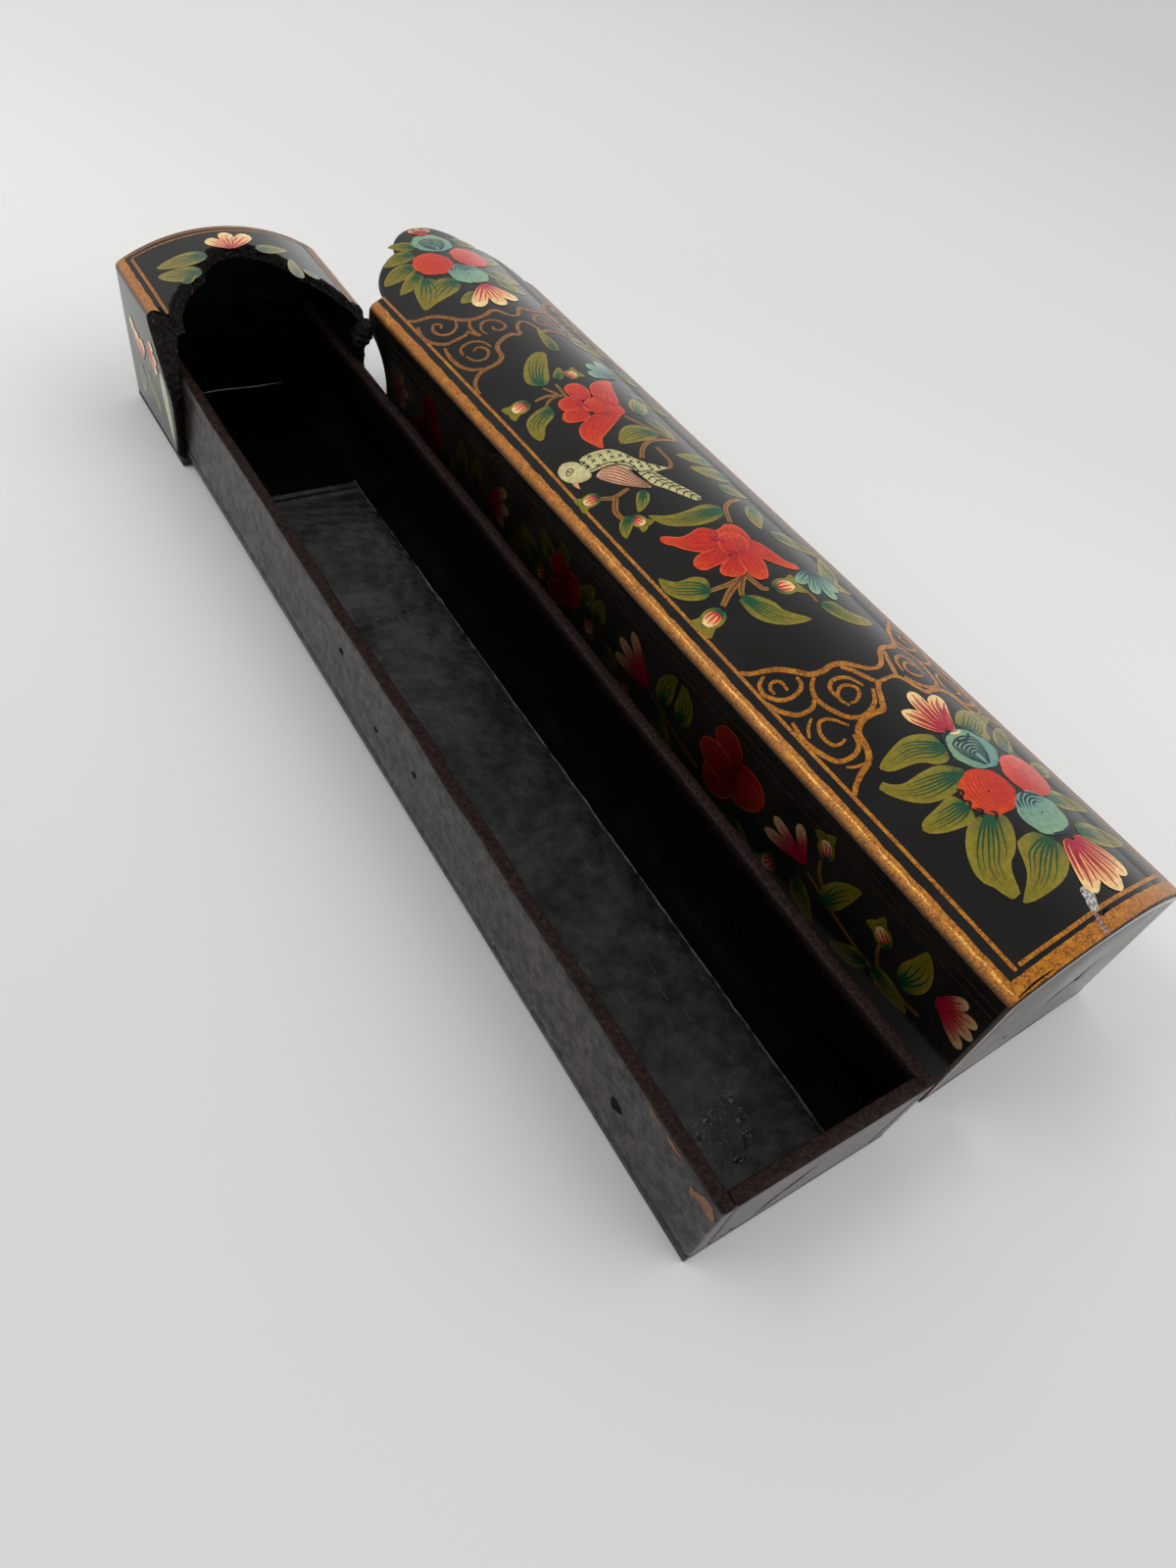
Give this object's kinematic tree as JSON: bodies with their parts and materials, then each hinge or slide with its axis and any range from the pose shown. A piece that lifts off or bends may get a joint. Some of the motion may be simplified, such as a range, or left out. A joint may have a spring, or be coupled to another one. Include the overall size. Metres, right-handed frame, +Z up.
{
  "type": "papier-mache pen box",
  "caption": "Long lacquered papier-mache pen box, opened: a painted arched sleeve with a lobed tongue, and beside it an open black tray with a matching arched hood at one end.",
  "frame": {"origin": "on the table, under the middle of the opened pair's bounding box", "axes": "+Z up; +Y along the drawer, from its open near end towards its hood; +X from the drawer towards the sleeve"},
  "size_m": [0.1076, 0.2502, 0.0429],
  "materials": {
    "painted_lacquer": "papier-mache painted black with gold bands, flowers, leaves and a bird under clear gloss lacquer, worn at the arrises",
    "black_lacquer": "papier-mache under plain black lacquer, satin, a little uneven",
    "worn_lacquer": "papier-mache under thin brown-black lacquer, scuffed, with bare brown rims",
    "lining": "paper lining under black varnish, creased and flaking"
  },
  "bodies": {
    "sleeve": {"sleeve_top": "painted_lacquer", "sleeve_left_side": "painted_lacquer", "sleeve_right_side": "painted_lacquer", "sleeve_end_panel": "painted_lacquer", "sleeve_base": "black_lacquer"},
    "drawer": {"hood_top": "painted_lacquer", "hood_left_side": "painted_lacquer", "hood_right_side": "painted_lacquer", "hood_end_panel": "painted_lacquer", "hood_base": "black_lacquer", "tray_floor": "black_lacquer", "tray_left_side": "worn_lacquer", "tray_right_side": "worn_lacquer", "tray_near_end": "worn_lacquer", "tray_far_end": "black_lacquer", "tray_left_cove": "black_lacquer", "tray_right_cove": "black_lacquer", "tray_lining": "lining"}
  },
  "joints": [
    {"name": "drawer_slide", "type": "slide", "parent": "sleeve", "child": "drawer", "axis": [0, 1, 0], "range_m": [0, 0.217]}
  ]
}
